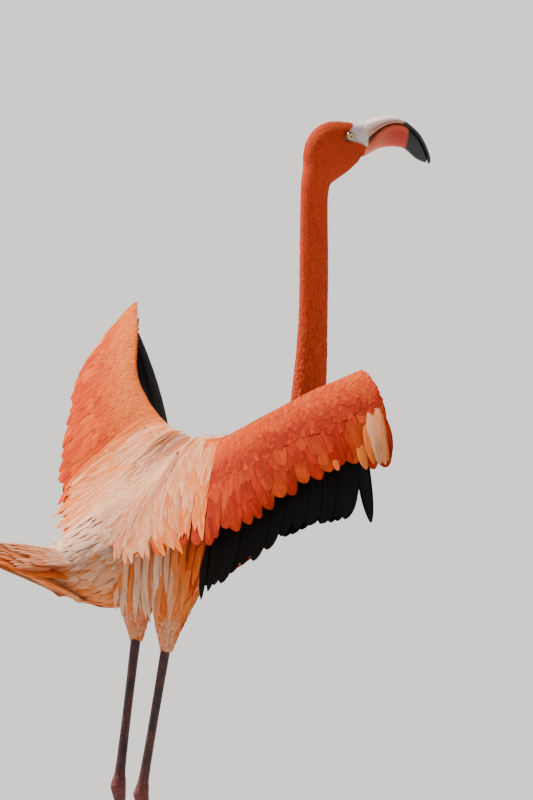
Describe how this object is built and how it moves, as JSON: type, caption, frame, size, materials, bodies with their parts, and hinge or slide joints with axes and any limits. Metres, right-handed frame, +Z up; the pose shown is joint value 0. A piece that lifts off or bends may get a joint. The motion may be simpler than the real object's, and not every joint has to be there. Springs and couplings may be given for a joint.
{
  "type": "flamingo",
  "caption": "Life-size still model of a standing wading bird with a long upright neck, bent bill, half-open wings and webbed feet.",
  "frame": {"origin": "on the floor, under the middle of the bird's box", "axes": "+Z up, +X the way the breast faces, +Y to the bird's left"},
  "size_m": [0.746, 0.7388, 1.2315],
  "materials": {
    "plumage": "soft feathers, orange-red",
    "pale_plumage": "soft feathers, pale pink",
    "flight_feathers": "black vanes with a faint sheen",
    "bare_skin": "fine creased skin",
    "bill": "smooth horn, pale at the base, red below and black at the tip",
    "eye": "wet gloss",
    "leg_skin": "scaled skin",
    "claw": "dark horn"
  },
  "bodies": {
    "root": {"trunk": "plumage", "neck_lower": "plumage", "neck_upper": "plumage", "head": "plumage", "eye_left": "eye", "eye_right": "eye", "bill_upper": "bill", "bill_lower": "bill", "tail": "pale_plumage", "wing_left": "plumage", "wing_right": "plumage", "secondaries_left": "flight_feathers", "secondaries_right": "flight_feathers", "primaries_left": "flight_feathers", "primaries_right": "flight_feathers", "tertials_left": "pale_plumage", "tertials_right": "pale_plumage", "thigh_left": "plumage", "thigh_right": "plumage", "shank_left": "leg_skin", "shank_right": "leg_skin", "tarsus_left": "leg_skin", "tarsus_right": "leg_skin", "foot_left": "leg_skin", "foot_right": "leg_skin"}
  },
  "joints": []
}
